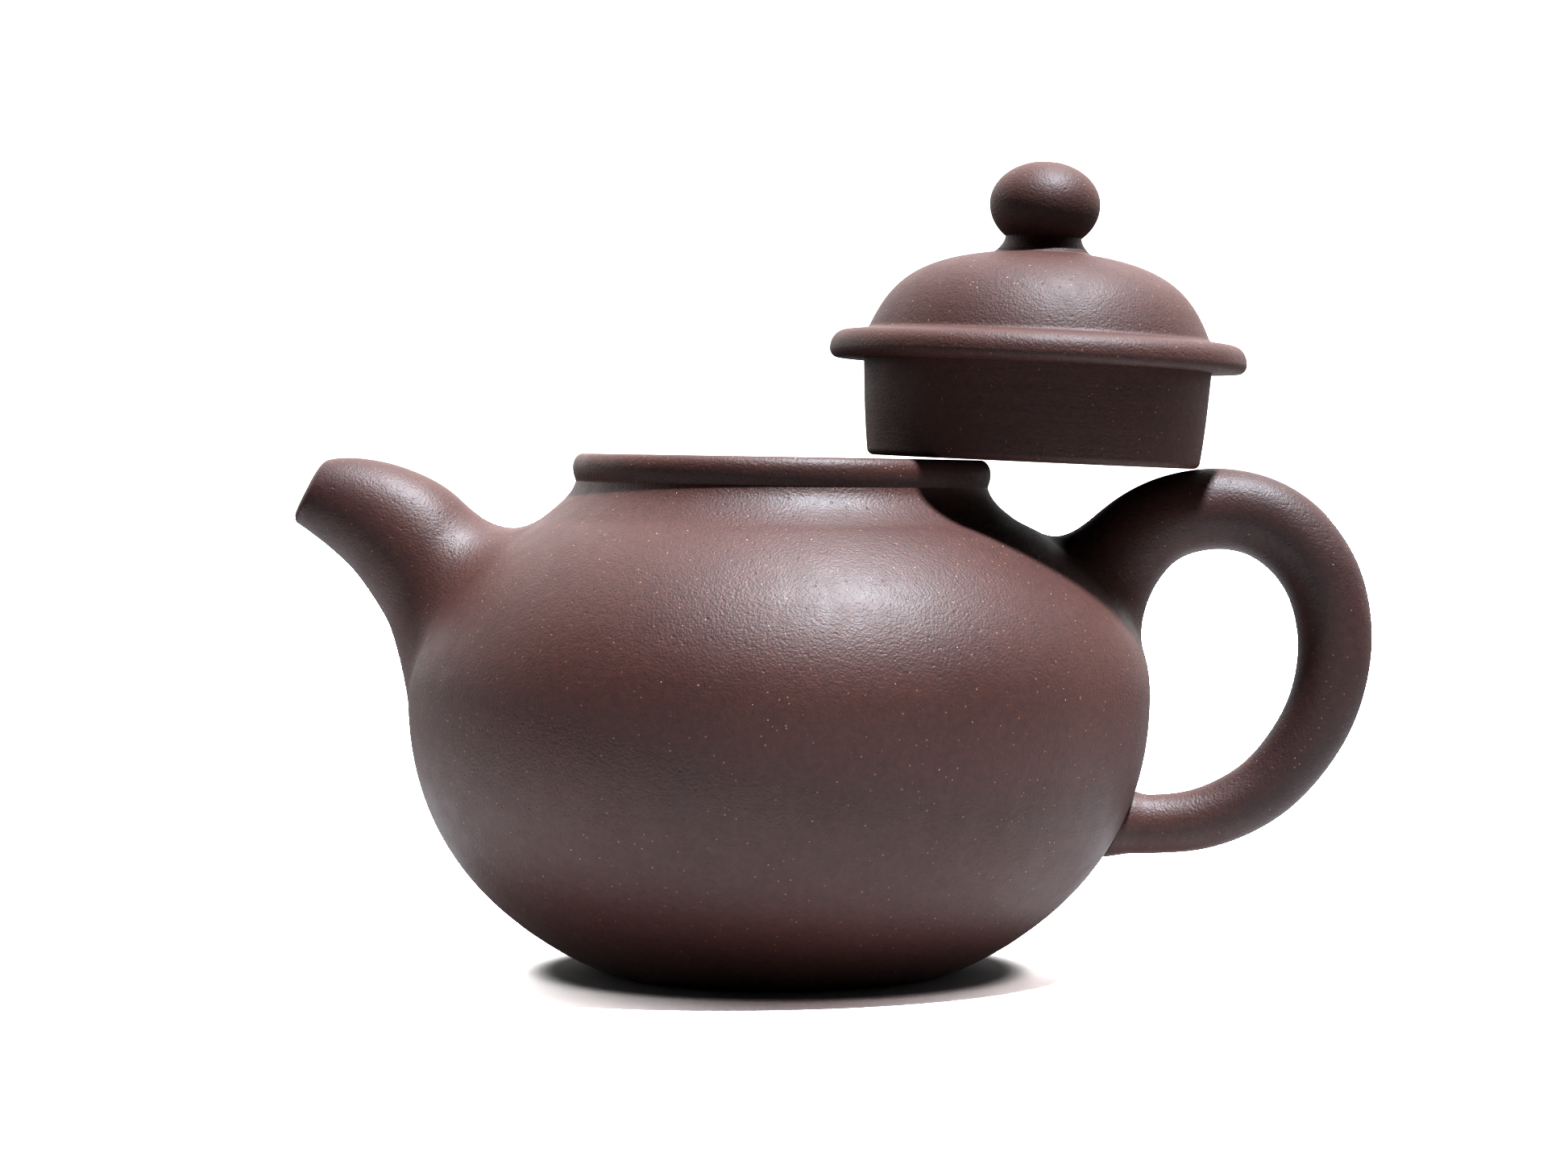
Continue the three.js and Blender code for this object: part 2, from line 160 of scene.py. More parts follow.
class ClayFinish(PropertyGroup):
    """Colours and relief of the fired clay."""

    dark: colour("Dark clay", (0.038, 0.0130, 0.0115), "Deep tone of the clay")
    warm: colour("Warm clay", (0.092, 0.0310, 0.0220), "Reddish tone of the clay")
    sand: colour("Sand", (0.24, 0.105, 0.055), "Tan grains in the clay")
    # Pale grains that also stand in for glints: painted glints.
    mica_and_glint: colour("Mica", (0.55, 0.48, 0.44), "Pale grains in the clay")
    relief: length("Grain relief", 0.060 * MM, "Height of the fine grain")
    roughness: share("Roughness", 0.545, "Mean roughness of the smoothed skin")


class StudioLook(PropertyGroup):
    """Light, floor and camera."""

    key_strength: share("Key light", 13.7, "Strength of the high light", 0.0, 20.0)
    back_glow: share("Backdrop", 2.3, "Brightness of the white surround behind the pot", 0.0, 5.0)
    top_glow: share("Ceiling", 1.3, "How much brighter the surround is high up", 0.0, 9.0)
    left_glow: share("Window", 1.05, "How much brighter the surround is on the left", 0.0, 2.0)
    front_glow: share("Room", 0.0, "Brightness of the room in front of the pot", 0.0, 5.0)
    floor_tone: share("Floor tone", 0.53, "How pale the table is")
    floor_gain: share("Floor exposure", 6.4, "How far the table is overexposed", 1.0, 30.0)
    lens: share("Lens", 92.5, "Focal length in millimetres", 20.0, 300.0)


class TeapotSettings(PropertyGroup):
    """All settings of the teapot."""

    pot: PointerProperty(type=PotSizes, name="Pot", description="Sizes of the pot")
    lid: PointerProperty(type=LidSizes, name="Lid", description="Sizes of the lid")
    clay: PointerProperty(type=ClayFinish, name="Clay", description="Finish of the clay")
    studio: PointerProperty(type=StudioLook, name="Studio", description="Light and camera")
    sides: IntProperty(
        name="Sides", default=256, min=24, max=400, description="Steps round each turned piece"
    )


# --- Lines ---


def hermite(start, leave, end, arrive, t):
    """The cubic from start to end that leaves and arrives along two given vectors."""
    return (
        (2 * t**3 - 3 * t**2 + 1) * start
        + (t**3 - 2 * t**2 + t) * leave
        + (3 * t**2 - 2 * t**3) * end
        + (t**3 - t**2) * arrive
    )


def curve_through(points, count):
    """A smooth line through points. Each stretch is a cubic whose end slopes are those of the parabola
    through a point and its two neighbours, with a step of the square root of their distance."""
    p = np.asarray(points, float)
    steps = np.sqrt(np.linalg.norm(np.diff(p, axis=0), axis=1))
    at = np.concatenate([[0.0], np.cumsum(steps)])
    slope = np.gradient(p, at, axis=0, edge_order=2)
    u = np.linspace(0, at[-1], count)
    i = np.clip(np.searchsorted(at, u, side="right") - 1, 0, len(at) - 2)
    width = (at[i + 1] - at[i])[:, None]
    t = (u - at[i])[:, None] / width
    return hermite(p[i], slope[i] * width, p[i + 1], slope[i + 1] * width, t)


def along(line):
    """Distance from a line's start to each of its points."""
    return np.concatenate([[0.0], np.cumsum(np.linalg.norm(np.diff(line, axis=0), axis=1))])


def evenly(line, count):
    """The same line with its points at equal distances."""
    at = along(line)
    wanted = np.linspace(0, at[-1], count)
    return np.column_stack([np.interp(wanted, at, column) for column in line.T])


def softened(line, reach):
    """The same line with its corners rounded: each point becomes the weighted mean of the points within
    reach of it, with a raised cosine as weight. The line runs straight on past its ends."""
    steps = 12
    count = max(int(round(along(line)[-1] / (reach / steps))), 2 * steps)
    p = evenly(line, count)
    weight = 1 + np.cos(np.linspace(-math.pi, math.pi, 2 * steps + 1))
    weight /= weight.sum()
    before = 2 * p[0] - p[steps:0:-1]
    after = 2 * p[-1] - p[-2 : -2 - steps : -1]
    padded = np.vstack([before, p, after])
    return np.column_stack([np.convolve(column, weight, mode="valid") for column in padded.T])


def arc(centre, half_width, half_height, start, end, count):
    """Points of an ellipse between two angles in degrees."""
    angle = np.radians(np.linspace(start, end, count))
    return np.column_stack(
        [centre[0] + half_width * np.cos(angle), centre[1] + half_height * np.sin(angle)]
    )


def bezier(a, b, c, d, count):
    """A cubic with two guide points: a(1-t)^3 + 3bt(1-t)^2 + 3ct^2(1-t) + dt^3."""
    t = np.linspace(0, 1, count)[:, None]
    a, b, c, d = (np.asarray(p, float) for p in (a, b, c, d))
    return a * (1 - t) ** 3 + 3 * b * t * (1 - t) ** 2 + 3 * c * t**2 * (1 - t) + d * t**3


def between(line, low, high):
    """The stretch of a rising outline between two heights, ends included."""
    inside = line[(line[:, 1] > low) & (line[:, 1] < high)]
    radius = np.interp([low, high], line[:, 1], line[:, 0])
    return np.vstack([[radius[0], low], inside, [radius[1], high]])


# --- Surfaces ---


def turned(profile, sides):
    """A profile of radius and height carried round the upright axis: (r cos a, r sin a, z)."""
    angle = np.arange(sides) * TURN / sides
    r = profile[:, 0][:, None]
    z = np.repeat(profile[:, 1][:, None], sides, axis=1)
    return np.stack([r * np.cos(angle), r * np.sin(angle), z], axis=-1)


def faces_of(rings, sides, loop):
    """Four-sided faces over a grid of rings, and three-sided ones round the two end points if it is
    open."""
    index = np.arange(rings * sides).reshape(rings, sides)
    rows = np.vstack([index, index[:1]]) if loop else index
    low = rows[:-1]
    high = rows[1:]
    quads = np.stack([low, np.roll(low, -1, 1), np.roll(high, -1, 1), high], axis=-1).reshape(-1, 4)
    if loop:
        return quads, np.empty((0, 3), int)
    first = np.full(sides, rings * sides)
    fan = np.stack([first, np.roll(index[0], -1), index[0]], axis=-1)
    cap = np.stack([first + 1, index[-1], np.roll(index[-1], -1)], axis=-1)
    return quads, np.vstack([fan, cap])


def volume_of(points, triangles):
    """Six times the signed volume inside a closed surface."""
    a, b, c = (points[triangles[:, k]] for k in range(3))
    return np.einsum("ij,ij->", a, np.cross(b, c))


def new_object(name, data):
    """An object of its own for a mesh, a light or a camera."""
    made = bpy.data.objects.new(name, data)
    bpy.context.scene.collection.objects.link(made)
    return made


def clay_object(name, grid, loop):
    """A closed object over a grid of rings that faces outwards. With loop the last ring joins the first,
    otherwise both ends close in a point."""
    rings, sides, _ = grid.shape
    points = grid.reshape(-1, 3)
    if not loop:
        points = np.vstack([points, grid[0].mean(0), grid[-1].mean(0)])
    quads, triangles = faces_of(rings, sides, loop)
    halves = np.vstack([quads[:, [0, 1, 2]], quads[:, [0, 2, 3]], triangles])
    if volume_of(points - points.mean(0), halves) < 0:
        quads = quads[:, ::-1]
        triangles = triangles[:, ::-1]
    mesh = bpy.data.meshes.new(name)
    mesh.from_pydata(points.tolist(), [], quads.tolist() + triangles.tolist())
    mesh.shade_smooth()
    mesh.set_sharp_from_angle(angle=CRISP_ANGLE)
    mesh.validate()
    return new_object(name, mesh)


def fitted(made, body, node, clay):
    """A finished piece: it rides on a body, stands for a CAD node and wears a clay."""
    made.data.materials.append(clay_material(clay, **CLAYS[clay]))
    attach(made, body)
    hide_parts(node)
    return made


def smooth_step(value, low, high):
    """0 below low, 1 above high and 3t^2 - 2t^3 between them."""
    t = np.clip((value - low) / (high - low), 0, 1)
    return t * t * (3 - 2 * t)


def hand_made(points, pot):
    """Small faults of a thrown pot, the same wherever pieces meet: the mouth leans towards the handle,
    and the wall swells and sinks by about a tenth of a millimetre in long waves."""
    x, y, z = (points[..., k] for k in range(3))
    turn = np.arctan2(y, x)
    radius = np.hypot(x, y)
    wave = np.sin(2 * turn + 0.8 + 40 * z) + 0.6 * np.sin(3 * turn - 1.1 - 75 * z)
    wave = wave + 0.4 * np.sin(190 * z)
    swell = 0.09 * MM * wave * smooth_step(radius, 8 * MM, 30 * MM) * smooth_step(z, 0, 12 * MM)
    near_mouth = smooth_step(z, 47 * MM, 57 * MM) * (1 - smooth_step(radius, 25.5 * MM, 32 * MM))
    lean = math.tan(pot.mouth_lean) * near_mouth
    grown = 1 + swell / np.maximum(radius, 1 * MM)
    slip = MOUTH_SLIP * smooth_step(z, 50 * MM, 57 * MM)
    return np.stack([x * grown + slip, y * grown, z - x * lean], axis=-1)


# --- The body's outline ---


def lower_outline(pot, inset, bottom, count):
    """From a height up to the belly circle: r = belly * sqrt(1 - (depth / drop) ^ power), where depth is
    measured down from the belly circle, and drop is the depth at which the curve would close."""
    closing = 1 - (pot.base_radius / pot.belly_radius) ** 2
    drop = pot.belly_height / closing ** (1 / pot.lower_power)
    depth = (pot.belly_height - bottom) * np.cos(np.linspace(0, math.pi / 2, count))
    part = (depth / (drop - inset)) ** pot.lower_power
    return np.column_stack([(pot.belly_radius - inset) * np.sqrt(1 - part), pot.belly_height - depth])


def upper_outline(pot, inset, end_radius, count):
    """From the belly circle up the shoulder's ellipse to a radius."""
    radius = pot.belly_radius - inset
    angle = np.linspace(0, math.acos(end_radius / radius), count)
    return np.column_stack(
        [radius * np.cos(angle), pot.belly_height + (pot.shoulder_rise - inset) * np.sin(angle)]
    )


def shoulder_height(pot, radius, inset=0.0):
    """Height of the shoulder's ellipse at a radius."""
    part = radius / (pot.belly_radius - inset)
    return pot.belly_height + (pot.shoulder_rise - inset) * np.sqrt(1 - part**2)


def seam_height(pot):
    """Height of the seam between the body wall and the shoulder disc."""
    return float(shoulder_height(pot, SEAM_RADIUS))


def body_outline(pot):
    """The body from the table to the crease below the mouth bead: the lower curve, the shoulder's ellipse
    and the flare r = neck + width * (1 - s) ^ 1.6, with the corner between the last two rounded."""
    s = np.linspace(0, 1, 60)
    radius = pot.neck_radius + pot.flare_width * (1 - s) ** 1.6
    flare = np.column_stack([radius, pot.flare_foot + (pot.crease_height - pot.flare_foot) * s])
    upper = upper_outline(pot, 0.0, pot.neck_radius + pot.flare_width, 90)
    line = np.vstack([lower_outline(pot, 0.0, 0.0, 120), upper[1:], flare[1:]])
    return softened(line, 1.4 * MM)


def on_body(line, distance, sideways, side, depth):
    """Points of the body's outer surface, a depth below it, from their distance along its outline and how
    far they lie to the side. side is 1 at the handle and -1 at the spout."""
    at = along(line)
    slope = np.gradient(line, at, axis=0)
    inward = np.column_stack([-slope[:, 1], slope[:, 0]])
    sunk = line + depth * inward
    radius = np.interp(distance, at, sunk[:, 0])
    height = np.interp(distance, at, sunk[:, 1])
    return np.stack([side * np.sqrt(radius**2 - sideways**2), sideways, height], axis=-1)


def footprint(line, top, bottom, spread, side, size=1.0, depth=0.0):
    """The closed line on the body where a limb begins: an oval whose long axis follows the outline
    between the points nearest to two given ones, in millimetres, and whose half width is spread. Shrunk
    by size towards its middle."""
    apart = [np.linalg.norm(line - np.multiply(end, MM), axis=1) for end in (top, bottom)]
    high, low = along(line)[np.argmin(apart, axis=1)]
    distance = (high + low) / 2 + size * (high - low) / 2 * np.cos(LIMB_ANGLES)
    return on_body(line, distance, size * spread * np.sin(LIMB_ANGLES), side, depth)


def unit(vectors):
    """The same directions with length one."""
    return vectors / np.linalg.norm(vectors, axis=1, keepdims=True)


def limb_root(place, rings, pull_high, pull_low, rows):
    """The flowing root of a limb. It leaves the footprint along the body's surface, and reaches the
    limb's first ring along the limb: a cubic for each angle, with both end vectors as long as the
    distance between its ends times a pull that changes from the top of the limb to its bottom. A plug
    just below the body's surface closes it."""
    start = footprint(*place)
    reach = np.linalg.norm(rings[0] - start, axis=1, keepdims=True)
    pull = ((pull_high + pull_low) / 2 + (pull_high - pull_low) / 2 * np.cos(LIMB_ANGLES))[:, None]
    away = unit(footprint(*place, size=0.98) - start)
    t = np.linspace(0, 1, rows)[:, None, None]
    root = hermite(start, away * reach * pull, rings[0], unit(rings[1] - rings[0]) * reach * pull, t)
    plug = [footprint(*place, size, 0.6 * MM) for size in (0.06, 0.35, 0.65, 0.96)]
    return np.concatenate([np.stack(plug), root])


# --- Pieces of the pot ---


def base_grid(pot, sides):
    """The base disc: its underside stands 0.35 mm * (1 - (r / R)^2) above the table."""
    radius = pot.base_radius - DISC_INSET
    r = np.linspace(0.2 * MM, radius, 40)
    under = np.column_stack([r, 0.35 * MM * (1 - (r / radius) ** 2)])
    top = np.column_stack([r[::-1], np.full(len(r), DISC_TOP)])
    return turned(np.vstack([under, top]), sides)


def wall_grid(pot, sides):
    """The body wall: the outer outline, the same curves one wall further in, and the ring it stands on,
    whose outer edge is rounded."""
    outer = evenly(between(body_outline(pot), 0.7 * MM, seam_height(pot)), 170)
    edge = bezier((19.9 * MM, 0), (20.5 * MM, 0), (20.7 * MM, 0.25 * MM), outer[0], 8)[:-1]
    lower = lower_outline(pot, pot.wall, DISC_TOP, 60)
    upper = upper_outline(pot, pot.wall, SEAM_RADIUS, 40)[1:]
    inner = np.vstack([lower, upper])[::-1]
    disc = pot.base_radius - DISC_INSET
    foot = np.array([[disc, DISC_TOP], [disc, 0.0]])
    return turned(np.vstack([edge, outer, evenly(inner, 90), foot]), sides)


def shoulder_grid(pot, sides):
    """The shoulder disc between the body wall and the neck."""
    outer = evenly(between(body_outline(pot), seam_height(pot), NECK_FOOT), 26)
    radius = np.linspace(pot.bore_radius, SEAM_RADIUS, 14)
    inner = np.column_stack([radius, shoulder_height(pot, radius, pot.wall)])
    return turned(np.vstack([outer, [[pot.bore_radius, NECK_FOOT]], inner]), sides)


def mouth_outline(pot):
    """The mouth bead: it swells by a third of a millimetre above its crease, and its upper edge is
    round."""
    r = pot.neck_radius
    z = pot.crease_height
    top = pot.rim_height
    widest = z + 1.65 * MM
    guides = ((r + 0.02 * MM, z + 0.35 * MM), (r + 0.33 * MM, z + 0.7 * MM))
    swell = bezier((r, z), *guides, (r + 0.34 * MM, widest), BEAD_RISE)
    edge = arc((r - 0.86 * MM, widest), 1.2 * MM, top - widest, 0, 90, 16)[1:]
    inner = arc((pot.bore_radius + 0.5 * MM, top - 0.5 * MM), 0.5 * MM, 0.5 * MM, 90, 180, 8)
    return np.vstack([swell, edge, inner])


def neck_grid(pot, sides):
    """The neck ring: the flare's upper end and the foot of the mouth bead."""
    flare = evenly(between(body_outline(pot), NECK_FOOT, pot.crease_height), 30)
    rise = between(mouth_outline(pot)[:BEAD_RISE], pot.crease_height, BEAD_FOOT)[1:]
    inner = np.array([[pot.bore_radius, BEAD_FOOT], [pot.bore_radius, NECK_FOOT]])
    return turned(np.vstack([flare, rise, inner]), sides)


def bead_grid(pot, sides):
    """The mouth bead above the neck ring."""
    bead = mouth_outline(pot)
    start = np.interp(BEAD_FOOT, bead[:BEAD_RISE, 1], bead[:BEAD_RISE, 0])
    outer = np.vstack([[start, BEAD_FOOT], bead[bead[:, 1] > BEAD_FOOT]])
    return turned(np.vstack([outer, [[pot.bore_radius, BEAD_FOOT]]]), sides)


def sections(rows, count):
    """Rings between two side lines in the XZ plane. Each row holds a point of the upper line and one of
    the lower line. Returns the middle, the unit vector towards the upper line, and half the distance."""
    lines = curve_through(np.asarray(rows) * MM, count)
    upper = lines[:, [0, 1]]
    lower = lines[:, [2, 3]]
    half = np.linalg.norm(upper - lower, axis=1) / 2
    return (upper + lower) / 2, (upper - lower) / (2 * half[:, None]), half


def limb_rings(middle, across, half, width=1.0):
    """A ring round each middle: middle + half * (cos a * across + width * sin a * Y)."""
    c = (half[:, None] * np.cos(LIMB_ANGLES))[..., None]
    flat = middle[:, None, :] + c * across[:, None, :]
    sideways = width * half[:, None] * np.sin(LIMB_ANGLES)
    return np.stack([flat[..., 0], sideways, flat[..., 1]], axis=-1)


# Upper and lower side of the spout, root to tip: x, z, x, z in millimetres.
SPOUT_SIDES = (
    (-37.4, 54.9, -45.9, 41.2),
    (-39.8, 56.75, -47.6, 43.95),
    (-42.7, 58.2, -49.65, 46.7),
    (-46.0, 59.3, -51.75, 48.75),
    (-49.4, 59.85, -53.9, 50.5),
    (-51.9, 59.85, -55.5, 51.65),
    (-53.7, 59.45, -57.0, 52.6),
)


def spout_grid(pot):
    """The spout: a flowing root, round rings between its two side lines, a rounded lip and a bore whose
    wall thins from 3 mm to 1.4 mm. t runs from root to tip and back, and inset is in millimetres."""
    middle, across, half = sections(SPOUT_SIDES, 61)
    at = np.linspace(0, 1, 61)
    tube = np.linspace(0, 0.94, 40)
    lip = np.radians(np.linspace(0, 90, 11))[1:]
    bore = np.linspace(1, -0.2, 31)[2:]
    edge = 0.94 + 0.06 * np.sin(lip)
    mouth = 1 - 0.025 * (1 - np.cos(lip))
    t = np.concatenate([tube, edge, mouth, bore])
    inset = np.concatenate(
        [0 * tube, 0.95 * (1 - np.cos(lip)), 0.95 + 0.45 * np.sin(lip), 1.4 + 1.6 * (1 - bore)]
    )
    centre = np.column_stack([beyond(t, at, column) for column in middle.T])
    side = np.column_stack([beyond(t, at, column) for column in across.T])
    rings = limb_rings(centre, side, beyond(t, at, half) - inset * MM)
    place = (body_outline(pot), (27.3, 53.15), (42.9, 30.0), pot.spout_spread, -1)
    return np.concatenate([limb_root(place, rings, 1.3, 0.62, 28), rings[1:]])


def beyond(t, at, values):
    """Linear interpolation that runs straight on below the first value."""
    slope = (values[1] - values[0]) / (at[1] - at[0])
    return np.interp(t, at, values) + np.minimum(t - at[0], 0) * slope


# Middle line of the handle and its thickness, root to foot: x, z, thickness in millimetres.
HANDLE_LINE = (
    (41.15, 50.0, 10.5),
    (45.3, 52.8, 9.8),
    (51.0, 53.9, 9.5),
    (56.1, 52.95, 9.3),
    (60.4, 50.1, 9.2),
    (63.5, 45.6, 9.05),
    (64.9, 39.0, 8.7),
    (64.0, 32.1, 8.35),
    (61.5, 26.7, 8.05),
    (57.0, 21.45, 7.65),
    (51.6, 18.35, 7.3),
    (46.4, 17.15, 7.0),
)


def handle_grid(pot):
    """The handle: a flowing root on the shoulder, round rings square to its middle line, and a foot whose
    last ring lies on the body, at x = sqrt(r(z)^2 - y^2)."""
    line = curve_through(np.asarray(HANDLE_LINE) * MM, 130)
    slope = unit(np.gradient(line[:, :2], along(line[:, :2]), axis=0))
    across = np.column_stack([-slope[:, 1], slope[:, 0]])
    rings = limb_rings(line[:, :2], across, line[:, 2] / 2, 0.97)
    body = body_outline(pot)
    place = (body, (30.0, 51.35), (42.3, 36.8), pot.handle_spread, 1)
    root = limb_root(place, rings, 1.3, 1.0, 26)
    last = rings[-1]
    height = last[:, 2] - 0.15 * MM
    radius = np.interp(height, body[:, 1], body[:, 0])
    foot = np.stack([np.sqrt(radius**2 - last[:, 1] ** 2), last[:, 1], height], axis=-1)
    t = np.linspace(0, 1, 14)[1:, None, None]
    lead = np.linalg.norm(foot - last, axis=1, keepdims=True)
    inwards = np.array([-1.0, 0.0, 0.0]) * lead
    tail = hermite(last, unit(last - rings[-2]) * lead, foot, inwards, t)
    swell = 1 + 0.11 * smooth_step(t, 0.6, 1.0)
    middle = tail.mean(axis=1, keepdims=True)
    tail = np.concatenate([tail[..., :1], (middle + (tail - middle) * swell)[..., 1:]], axis=-1)
    return np.concatenate([root, rings[1:], tail])


def directions(polar, turn):
    """Unit vectors (cos p, sin p cos t, sin p sin t), at an angle p from an axis, turned t about it."""
    parts = (np.cos(polar), np.sin(polar) * np.cos(turn), np.sin(polar) * np.sin(turn))
    return np.stack(np.broadcast_arrays(*parts), axis=-1)


def strainer_grid(pot):
    """The strainer: half a ball over the spout's inner end, r = R - depth * holes, where holes is 1
    within a small angle of each of its sixteen bores. It is set into the wall by a little over half a
    millimetre."""
    sunk = 0.6 * MM
    low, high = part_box("strainer_dome")
    inner = pot.belly_radius - pot.wall
    rise = 9.6 * MM
    up = pot.shoulder_rise - pot.wall
    centre = np.array([-inner * math.sqrt(1 - (rise / up) ** 2), 0.0, pot.belly_height + rise])
    axis = np.array([-centre[0] / inner**2, 0.0, -rise / up**2])
    axis /= np.linalg.norm(axis)
    radius = (high.y - low.y) / 2 + 0.2 * MM
    side = np.array([0.0, 1.0, 0.0])
    third = np.cross(axis, side)
    sides = 240
    ray = directions(np.linspace(0.01, math.pi / 2, 150)[:, None], np.arange(sides) * TURN / sides)
    holes = np.zeros(ray.shape[:2])
    for count, tilt in ((1, 0.0), (6, 24.0), (9, 46.0)):
        bores = directions(math.radians(tilt), np.arange(count) * TURN / count)
        near = np.max(ray @ bores.T, axis=-1)
        apart = np.arccos(np.clip(near, -1, 1)) * radius
        holes = np.maximum(holes, 1 - smooth_step(apart, 0.75 * MM, 1.0 * MM))
    reach = (radius - 1.3 * MM * holes)[..., None]
    ball = centre + reach * (ray[..., :1] * axis + ray[..., 1:2] * side + ray[..., 2:] * third)
    back = ball[-1] - sunk * axis
    return np.concatenate([ball, [back], [centre - sunk * axis + (back - centre) * 0.05]])


# --- Pieces of the lid ---


def node_points(node):
    """A CAD node's corner points."""
    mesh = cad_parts[node].data
    flat = np.empty(len(mesh.vertices) * 3)
    mesh.vertices.foreach_get("co", flat)
    return flat.reshape(-1, 3)


def lid_axis():
    """A point under the lid's flange on its axis, and the axis: from the mean of the skirt's points to
    the mean of the knob's, as both are turned about it."""
    low = node_points("lid_skirt").mean(0)
    high = node_points("knob").mean(0)
    axis = (high - low) / np.linalg.norm(high - low)
    under = np.min((node_points("lid_flange") - low) @ axis)
    return low + under * axis - np.array([0.0, 0.0, LID_SETTLE]), axis


def laid(grid):
    """A lid piece put where the lid lies: heights run along its axis from the flange's underside. Its
    radius swells by a twentieth of a millimetre in two waves."""
    foot, axis = lid_axis()
    side = np.cross([0.0, 1.0, 0.0], axis)
    turn = np.arctan2(grid[..., 1], grid[..., 0])
    radius = np.hypot(grid[..., 0], grid[..., 1])
    wave = np.sin(2 * turn + 0.5) + 0.5 * np.sin(5 * turn)
    swell = 0.06 * MM * smooth_step(radius, 5 * MM, 18 * MM) * wave
    grown = (1 + swell / np.maximum(radius, 1 * MM))[..., None]
    sideways = grid[..., :1] * side + grid[..., 1:2] * np.array([0.0, 1.0, 0.0])
    return foot + grown * sideways + grid[..., 2:] * axis


def dome_line(lid, foot, end, count):
    """The dome's cubic from a height on its foot circle to a point near the lid's axis."""
    return bezier(
        (lid.dome_foot, foot),
        (lid.dome_foot - 2.3 * MM, foot + 5.7 * MM),
        (lid.dome_foot - 5.4 * MM, lid.dome_top - 1.1 * MM),
        end,
        count,
    )


def lid_outline(lid):
    """The lid from the flange's widest circle to the crease below the knob: a quarter of an ellipse, the
    flange's top, the dome's cubic and the stem's hollow, with the inner corners rounded."""
    waist = (lid.flange_radius - 1.9 * MM, FLANGE_WAIST)
    nose = arc(waist, 1.9 * MM, lid.flange_height - FLANGE_WAIST, 0, 90, 24)
    dome = dome_line(lid, lid.flange_height + 0.3 * MM, (STEM_FOOT, lid.dome_top), 70)
    low = ((STEM_FOOT, lid.dome_top), (5.0 * MM, lid.dome_top + 0.7 * MM))
    high = ((lid.stem_radius, lid.knob_foot - 0.8 * MM), (lid.stem_radius, lid.knob_foot))
    stem = bezier(*low, *high, 20)
    return softened(np.vstack([nose, dome, stem[1:]]), 0.8 * MM)


def flange_grid(lid, sides):
    """The flange: its rounded edge, its top as far as the dome's foot, and its flat underside."""
    line = lid_outline(lid)
    join = lid.flange_height + DOME_JOIN
    top = line[line[:, 1] < join]
    waist = (lid.flange_radius - 0.9 * MM, FLANGE_WAIST)
    under = arc(waist, 0.9 * MM, FLANGE_WAIST, -90, 0, 14)[:-1]
    inner = lid.skirt_foot - lid.wall
    ring = np.array([[inner, join], [inner, 0.0]])
    return turned(np.vstack([under, top, ring]), sides)


def dome_inside(lid):
    """The hollow under the dome: the dome's cubic one wall further in."""
    line = dome_line(lid, lid.flange_height, (2.5 * MM, lid.dome_top + 0.2 * MM), 60)
    slope = np.gradient(line, along(line), axis=0)
    return line + lid.wall * np.column_stack([-slope[:, 1], slope[:, 0]])


def dome_grid(lid, sides):
    """The dome between the flange and the stem, open inside, with the air hole in its middle."""
    line = lid_outline(lid)
    join = lid.flange_height + DOME_JOIN
    top = lid.dome_top + STEM_JOIN
    outer = line[(line[:, 1] >= join) & (line[:, 1] < top)]
    hollow = dome_inside(lid)
    hollow = hollow[(hollow[:, 1] > join) & (hollow[:, 0] > lid.vent_radius + 0.4 * MM)]
    hole = np.array([[lid.vent_radius, top], [lid.vent_radius, hollow[-1, 1]]])
    foot = np.array([[hollow[0, 0], join]])
    return turned(np.vstack([outer, hole, hollow[::-1], foot]), sides)


def stem_grid(lid, sides):
    """The stem under the knob, a hollow curve round the air hole."""
    line = lid_outline(lid)
    top = lid.dome_top + STEM_JOIN
    outer = line[line[:, 1] >= top]
    hole = np.array([[lid.vent_radius, lid.knob_foot], [lid.vent_radius, outer[0, 1]]])
    return turned(np.vstack([outer, hole]), sides)


def knob_grid(lid, sides):
    """The knob: two half ellipses on one widest circle, and the air hole with a rounded mouth."""
    widest = lid.knob_foot + 3.8 * MM
    lower = arc((0, widest), lid.knob_radius, 5.34 * MM, -45.4, 0, 30)
    mouth = lid.vent_radius + 0.5 * MM
    end = math.degrees(math.acos(mouth / lid.knob_radius))
    upper = arc((0, widest), lid.knob_radius, 5.0 * MM, 0, end, 50)[1:]
    edge = arc((mouth, upper[-1, 1] - 0.5 * MM), 0.5 * MM, 0.5 * MM, 90, 180, 8)[1:]
    foot = np.array([[lid.vent_radius, lid.knob_foot]])
    return turned(np.vstack([lower, upper, edge, foot]), sides)


def skirt_grid(lid, sides):
    """The skirt: its outer side narrows downwards, faster near its rounded lower edge."""
    outer_edge = 0.8 * MM
    inner_edge = 0.6 * MM
    depth = np.linspace(0, lid.skirt_depth - outer_edge, 50)
    part = depth / lid.skirt_depth
    narrowing = (lid.skirt_radius - lid.skirt_foot) * (0.65 * part + 0.35 * part**3)
    outer = np.column_stack([lid.skirt_radius - narrowing, -depth])
    centre = (outer[-1, 0] - outer_edge, outer_edge - lid.skirt_depth)
    bottom = arc(centre, outer_edge, outer_edge, 0, -90, 10)[1:]
    inner = lid.skirt_foot - lid.wall
    centre = (inner + inner_edge, inner_edge - lid.skirt_depth)
    inside = arc(centre, inner_edge, inner_edge, -90, -180, 8)
    return turned(np.vstack([outer, bottom, inside, [[inner, 0.0]]]), sides)


# --- Clay ---


